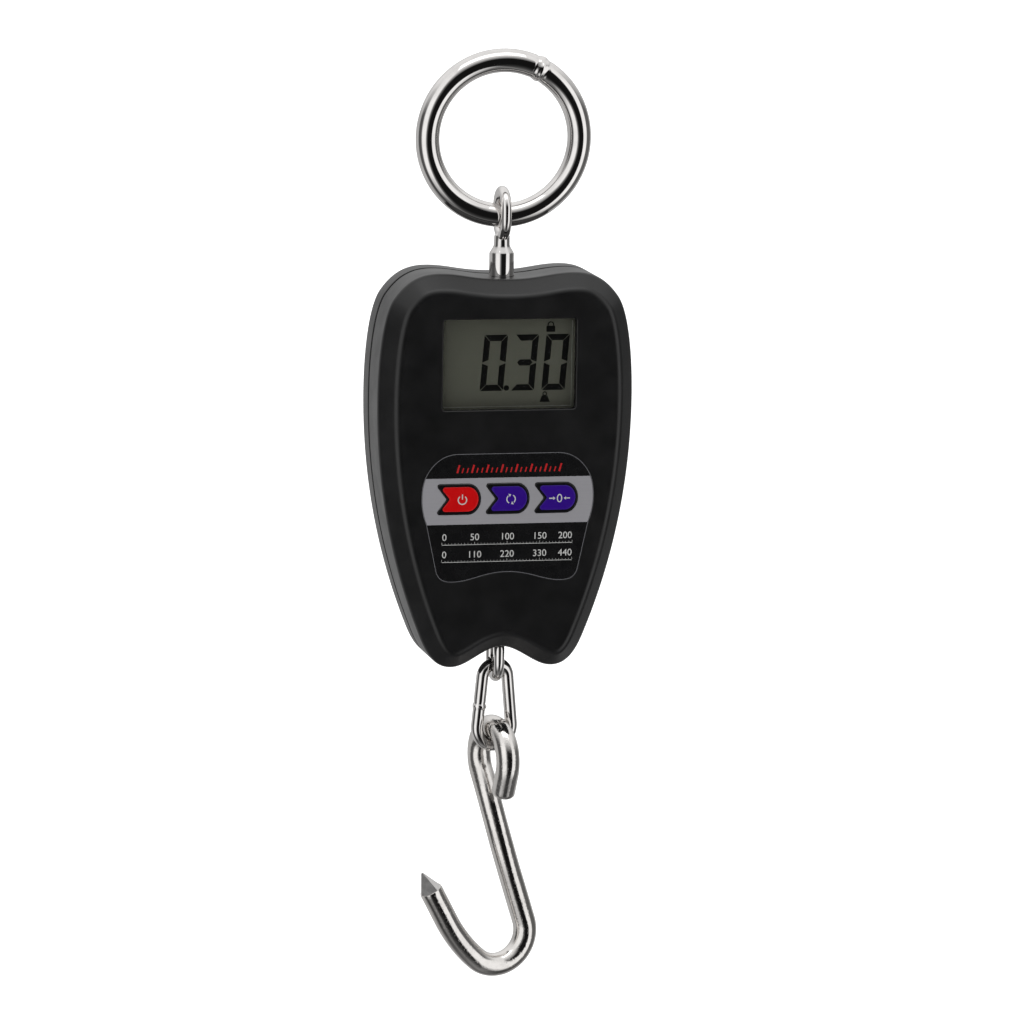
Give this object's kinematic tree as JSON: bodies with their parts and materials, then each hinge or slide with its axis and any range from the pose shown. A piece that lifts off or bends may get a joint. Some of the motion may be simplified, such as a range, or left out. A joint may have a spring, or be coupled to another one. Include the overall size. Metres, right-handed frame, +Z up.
{
  "type": "digital hanging scale",
  "caption": "Handheld digital hanging scale: steel ring and eye bolt, tapered two-part plastic housing with display and keys, load cell inside, lower eye, chain link and hook.",
  "frame": {"origin": "top of the suspension ring's hole, where a hanger's hook bears", "axes": "+Z up, -Y towards the display side, +X to the right seen from the front"},
  "size_m": [0.0876, 0.0345, 0.3183],
  "materials": {
    "polished_steel": "polished stainless steel",
    "nickel": "nickel plated",
    "cell_metal": "milled",
    "housing_black": "fine matte texture",
    "white_plastic": "satin",
    "label_film": "printed polyester film",
    "key_red": "satin",
    "key_blue": "satin",
    "window_clear": "clear acrylic",
    "lcd_glass": "reflective liquid-crystal display",
    "circuit_board": "solder mask",
    "epoxy_black": "moulded",
    "silicone": "matte",
    "battery_sleeve": "printed sleeve over a steel can",
    "wire_red": "insulation",
    "wire_black": "insulation",
    "wire_grey": "insulation"
  },
  "bodies": {
    "ring": {"suspension_ring": "polished_steel"},
    "housing": {"lifting_eye": "polished_steel", "lower_eye": "polished_steel", "upper_lock_nut": "nickel", "lower_lock_nut": "nickel", "case_screw_1": "nickel", "case_screw_2": "nickel", "case_screw_3": "nickel", "case_screw_4": "nickel", "board_screw_1": "nickel", "board_screw_2": "nickel", "board_screw_3": "nickel", "board_screw_4": "nickel", "cell_screw_1": "nickel", "cell_screw_2": "nickel", "crystal_can": "nickel", "battery_spring_1": "nickel", "battery_spring_2": "nickel", "battery_spring_3": "nickel", "contact_left_upper": "nickel", "contact_left_lower": "nickel", "contact_right_upper": "nickel", "contact_right_lower": "nickel", "front_cover": "housing_black", "rear_cover": "housing_black", "display_window": "window_clear", "lcd_panel": "lcd_glass", "lcd_holder": "white_plastic", "zebra_strip_upper": "silicone", "zebra_strip_lower": "silicone", "strain_gauge_upper": "silicone", "strain_gauge_lower": "silicone", "key_label": "label_film", "power_switch": "epoxy_black", "mode_switch": "epoxy_black", "tare_switch": "epoxy_black", "processor_blob": "epoxy_black", "amplifier_chip": "epoxy_black", "main_board": "circuit_board", "capacitor": "battery_sleeve", "battery_1": "battery_sleeve", "battery_2": "battery_sleeve", "battery_3": "battery_sleeve", "load_cell": "cell_metal", "cell_cable": "wire_grey", "battery_lead_positive": "wire_red", "battery_lead_negative": "wire_black"},
    "link": {"chain_link": "polished_steel"},
    "hook": {"hook": "polished_steel"},
    "door": {"battery_door": "housing_black"},
    "power_button": {"power_key": "key_red", "power_plunger": "white_plastic"},
    "mode_button": {"mode_key": "key_blue", "mode_plunger": "white_plastic"},
    "tare_button": {"tare_key": "key_blue", "tare_plunger": "white_plastic"}
  },
  "joints": [
    {"name": "ring_swing", "type": "hinge", "parent": "ring", "child": "housing", "pos_m": [0, 0, -0.048], "axis": [1, 0, 0], "range_deg": [-115, 115]},
    {"name": "link_swing", "type": "hinge", "parent": "housing", "child": "link", "pos_m": [0, 0, -0.2054], "axis": [0, 1, 0], "range_deg": [-65, 65]},
    {"name": "hook_swing", "type": "hinge", "parent": "link", "child": "hook", "pos_m": [0, 0, -0.2295], "axis": [0.9659, 0.2588, 0], "range_deg": [-90, 90]},
    {"name": "battery_door_hinge", "type": "hinge", "parent": "housing", "child": "door", "pos_m": [0, 0.01775, -0.14375], "axis": [-1, 0, 0], "range_deg": [0, 85]},
    {"name": "power_press", "type": "slide", "parent": "housing", "child": "power_button", "axis": [0, 1, 0], "range_m": [0, 0.0005], "stiffness_N_per_m": 1500, "springref_m": -0.0003},
    {"name": "mode_press", "type": "slide", "parent": "housing", "child": "mode_button", "axis": [0, 1, 0], "range_m": [0, 0.0005], "stiffness_N_per_m": 1500, "springref_m": -0.0003},
    {"name": "tare_press", "type": "slide", "parent": "housing", "child": "tare_button", "axis": [0, 1, 0], "range_m": [0, 0.0005], "stiffness_N_per_m": 1500, "springref_m": -0.0003}
  ]
}
